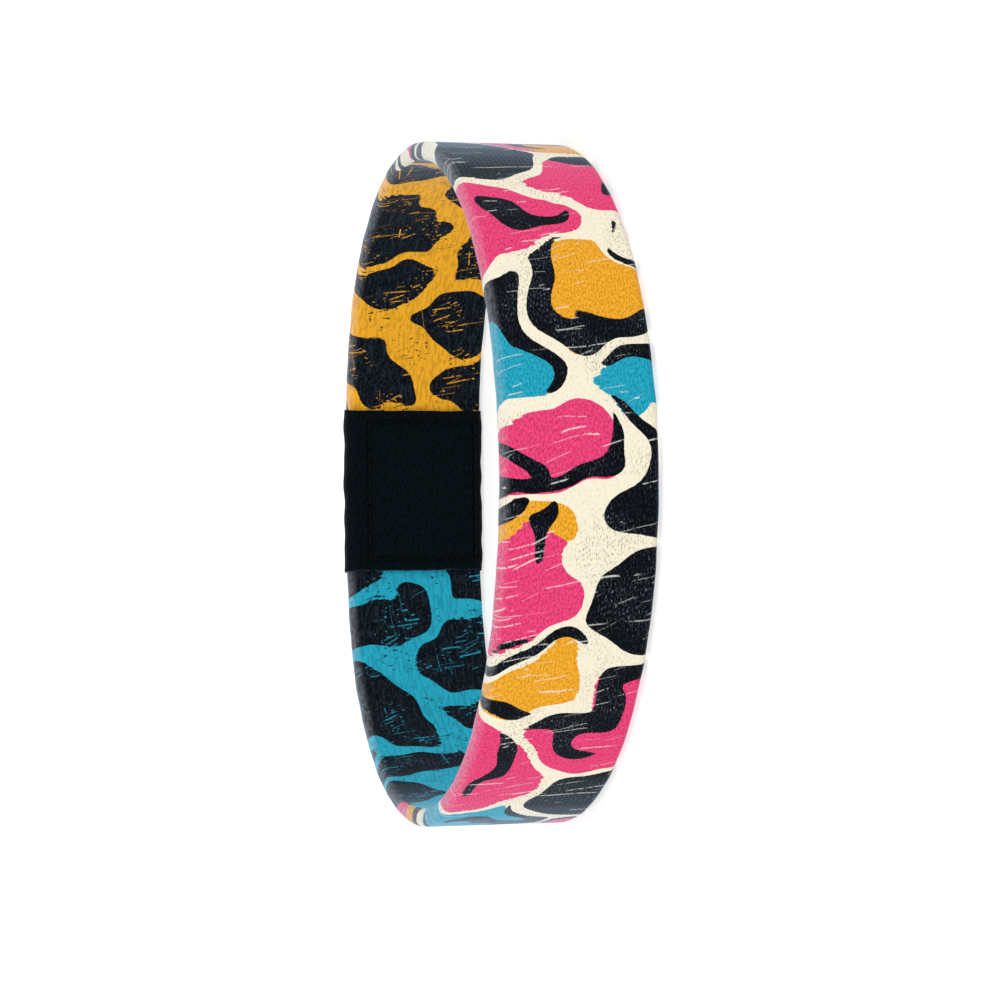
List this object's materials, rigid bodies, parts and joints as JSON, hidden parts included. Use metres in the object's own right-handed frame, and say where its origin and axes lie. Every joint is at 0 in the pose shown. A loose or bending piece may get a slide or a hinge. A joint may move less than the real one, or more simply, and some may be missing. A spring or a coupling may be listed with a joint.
{
  "type": "printed wristband",
  "caption": "Loop of printed elastic webbing, its ends held in a plain sewn cloth sleeve, slipped over the hand and worn on the wrist.",
  "frame": {"origin": "on the surface it lies on, under the middle of its box", "axes": "+Z along the loop's axis, up; +Y from the middle of the loop to the sleeve at the seam; +X across the loop"},
  "size_m": [0.0686, 0.0648, 0.0155],
  "materials": {
    "webbing": "knitted elastic webbing, cream outside with a dark animal print, two-coloured inside",
    "sleeve": "near-black fine twill cloth with a black box stitch"
  },
  "bodies": {
    "root": {"elastic_band": "webbing", "seam_sleeve": "sleeve"}
  },
  "joints": []
}
